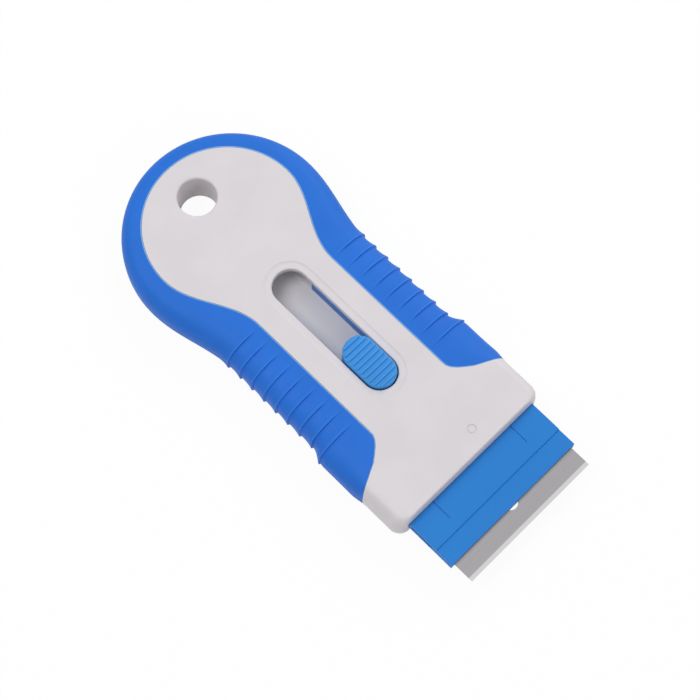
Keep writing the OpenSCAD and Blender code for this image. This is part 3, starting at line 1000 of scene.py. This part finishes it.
def make_button():
    long, wide, y_mid, half = button_long, button_wide, button_middle, button_high.x
    level = button_high.z - ridge_high
    flange_z, flange_top = button_low.z, button_low.z + tab_thick
    rings = [at_height(stadium(y_mid, long, wide), flange_z + body_lift)]
    for a in quarter(edge_steps):
        inset = 2 * button_edge * (1 - cos(a))
        rings.append(at_height(stadium(y_mid, long - inset, wide - inset),
                               level - button_edge + button_edge * sin(a)))
    body = loft("thumb_button_moulding", rings)
    tabs = block(-half, half, y_mid - tab_half, y_mid + tab_half, flange_z, flange_top)
    nubs = [side_block(s, half - nub_wide, half, y_mid - nub_long / 2, y_mid + nub_long / 2,
                       flange_z, flange_top + nub_high) for s in (1, -1)]
    piece = smooth(combine(body, "UNION", [tabs] + nubs))
    place(piece, button_plastic, "button", "button_plastic", "thumb_button")
    angles = [pi * i / ridge_steps for i in range(ridge_steps + 1)]
    profile = [Vector((ridge_half * cos(a), ridge_high * sin(a))) for a in angles]
    profile += [Vector((-ridge_half, -ridge_root)), Vector((ridge_half, -ridge_root))]
    bars = loft("button_ridges", [[Vector((x, p.x * w, p.y * w if p.y > 0 else p.y)) for p in profile]
                                  for x, w in ridge_ends])
    smooth(bars, angle=40)
    run_tree(bars, ridge_tree(), {"Count": ridge_count, "Pitch": long / (ridge_count + ridge_margin),
                                  "Middle": y_mid, "Level": level,
                                  "Half Width": wide / 2, "Straight Half": (long - wide) / 2,
                                  "Material": button_plastic})
    place(bars, button_plastic, "button", "button_plastic")


def make_spine():
    """A folded strip: round at its back, two lips at the front and crimped, rounded ends."""
    half = spine_high.x
    thick = (spine_high.z - spine_low.z) / 2
    middle = (spine_high.z + spine_low.z) / 2
    rings = []
    ends = [fold_corner * (1 - cos(a)) for a in quarter(bore_steps)]
    for x in [-half + e for e in ends] + [half - e for e in reversed(ends)]:
        e = min(half - abs(x), fold_corner)
        back_off = fold_corner - sqrt(max(fold_corner ** 2 - (fold_corner - e) ** 2, 0))
        rear, front = spine_low.y, spine_high.y - back_off
        t = thick * (1 - fold_crimp + fold_crimp * min(e / fold_corner, 1))
        ring = [(front, fold_gap), (front, t - fold_edge), (front - fold_edge, t)]
        for i in range(fold_steps + 1):
            a = pi / 2 + pi * i / fold_steps
            ring.append((rear + t + t * cos(a), t * sin(a)))
        ring += [(front - fold_edge, -t), (front, -t + fold_edge), (front, -fold_gap),
                 (rear + t, -fold_gap), (rear + t, fold_gap)]
        rings.append([Vector((x, y, middle + z)) for y, z in ring])
    piece = smooth(loft("blade_spine_fold", rings), angle=35)
    place(piece, spine_steel, "blade", "spine_steel", "blade_spine")


def dress_cad(node, material):
    """A CAD node whose shape is right keeps its mesh and gets a finish."""
    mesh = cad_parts[node].data
    mesh.materials.clear()
    mesh.materials.append(material)


# Floor, light and camera

image_side = 700
pixels_a_mm = 4.326
camera_far = 467 * MM
azimuth, elevation, camera_roll = radians(133.66), radians(71.862), radians(1.5)
aim = Vector((0, 45 * MM, 6 * MM))
aim_pixel = (332.57, 333.35)
floor_reach = 4.0
paper_shade = 0.92
floor_glow = 0.94
sky_light, sky_seen = 0.46, 1.0


def view_axes():
    back = Vector((sin(azimuth) * cos(elevation), -cos(azimuth) * cos(elevation), sin(elevation)))
    right = Vector((cos(azimuth), sin(azimuth), 0))
    up = back.cross(right)
    turned = right * cos(camera_roll) + up * sin(camera_roll)
    return turned, up * cos(camera_roll) - right * sin(camera_roll), back


def make_camera():
    right, up, back = view_axes()
    off_x, off_y = (image_side / 2 - pixel for pixel in aim_pixel)
    centre = aim + (right * off_x - up * off_y) / pixels_a_mm * MM
    lens = bpy.data.cameras.new("photo_camera")
    lens.sensor_width = 36
    lens.lens = pixels_a_mm / MM * camera_far * lens.sensor_width / image_side
    lens.clip_end = 20
    camera = bpy.data.objects.new("photo_camera", lens)
    bpy.context.scene.collection.objects.link(camera)
    turn = Matrix((right, up, back)).transposed().to_4x4()
    camera.matrix_world = Matrix.Translation(centre + back * camera_far) @ turn
    bpy.context.scene.camera = camera


def make_lamp(name, right_m, up_m, back_m, size, watts):
    """An area lamp placed as seen in the photograph: right, up and towards the viewer."""
    right, up, back = view_axes()
    lamp = bpy.data.lights.new(name, "AREA")
    lamp.shape = "DISK"
    lamp.size = size
    lamp.energy = watts
    holder = bpy.data.objects.new(name, lamp)
    bpy.context.scene.collection.objects.link(holder)
    spot = aim + right * right_m + up * up_m + back * back_m
    holder.matrix_world = Matrix.Translation(spot) @ (spot - aim).to_track_quat("Z", "Y").to_matrix().to_4x4()


def seen_white(tree):
    """1 for what the camera sees, also by reflection or through glass."""
    rays = tree.nodes.new("ShaderNodeLightPath").outputs
    direct = calc(tree, "MAXIMUM", rays["Is Camera Ray"], rays["Is Glossy Ray"])
    return calc(tree, "MAXIMUM", direct, rays["Is Transmission Ray"])


def make_world():
    world = bpy.data.worlds.new("studio")
    bpy.context.scene.world = world
    world.use_nodes = True
    tree = world.node_tree
    sky = tree.nodes["Background"]
    sky.inputs["Color"].default_value = (1, 1, 1, 1)
    tree.links.new(spread(tree, seen_white(tree), sky_light, sky_seen), sky.inputs["Strength"])


def make_floor():
    corners = [(x * floor_reach, y * floor_reach, 0) for x, y in ((-1, -1), (1, -1), (1, 1), (-1, 1))]
    floor = new_object("floor", corners, [[0, 1, 2, 3]])
    material = bpy.data.materials.new("pale_floor")
    material.use_nodes = True
    tree = material.node_tree
    tree.nodes.remove(tree.nodes["Principled BSDF"])
    paper = tree.nodes.new("ShaderNodeBsdfDiffuse")
    paper.inputs["Color"].default_value = (paper_shade, paper_shade, paper_shade, 1)
    glow = tree.nodes.new("ShaderNodeEmission")
    glow.inputs["Color"].default_value = (1, 1, 1, 1)
    mix = tree.nodes.new("ShaderNodeMixShader")
    tree.links.new(spread(tree, seen_white(tree), 0, floor_glow), mix.inputs["Fac"])
    tree.links.new(paper.outputs[0], mix.inputs[1])
    tree.links.new(glow.outputs[0], mix.inputs[2])
    tree.links.new(mix.outputs[0], tree.nodes["Material Output"].inputs["Surface"])
    floor.data.materials.append(material)


make_top_shell()
make_bottom_shell()
make_grip("grip_upper_rubber", face_z, "upper_grip")
make_grip("grip_lower_rubber", under_z, "lower_grip")
make_screws()
make_carrier()
make_button()
make_spine()
dress_cad("razor_blade", blade_steel)
dress_cad("lock_spring", spring_steel)

make_camera()
make_world()
make_floor()
make_lamp("key_lamp", right_m=0.42, up_m=1.05, back_m=0.45, size=0.9, watts=5.4)
make_lamp("fill_lamp", right_m=-0.5, up_m=0.3, back_m=1.0, size=0.6, watts=4.4)
make_lamp("front_lamp", right_m=0.8, up_m=-0.3, back_m=0.8, size=0.6, watts=1.6)

bpy.context.scene.view_settings.view_transform = "Standard"
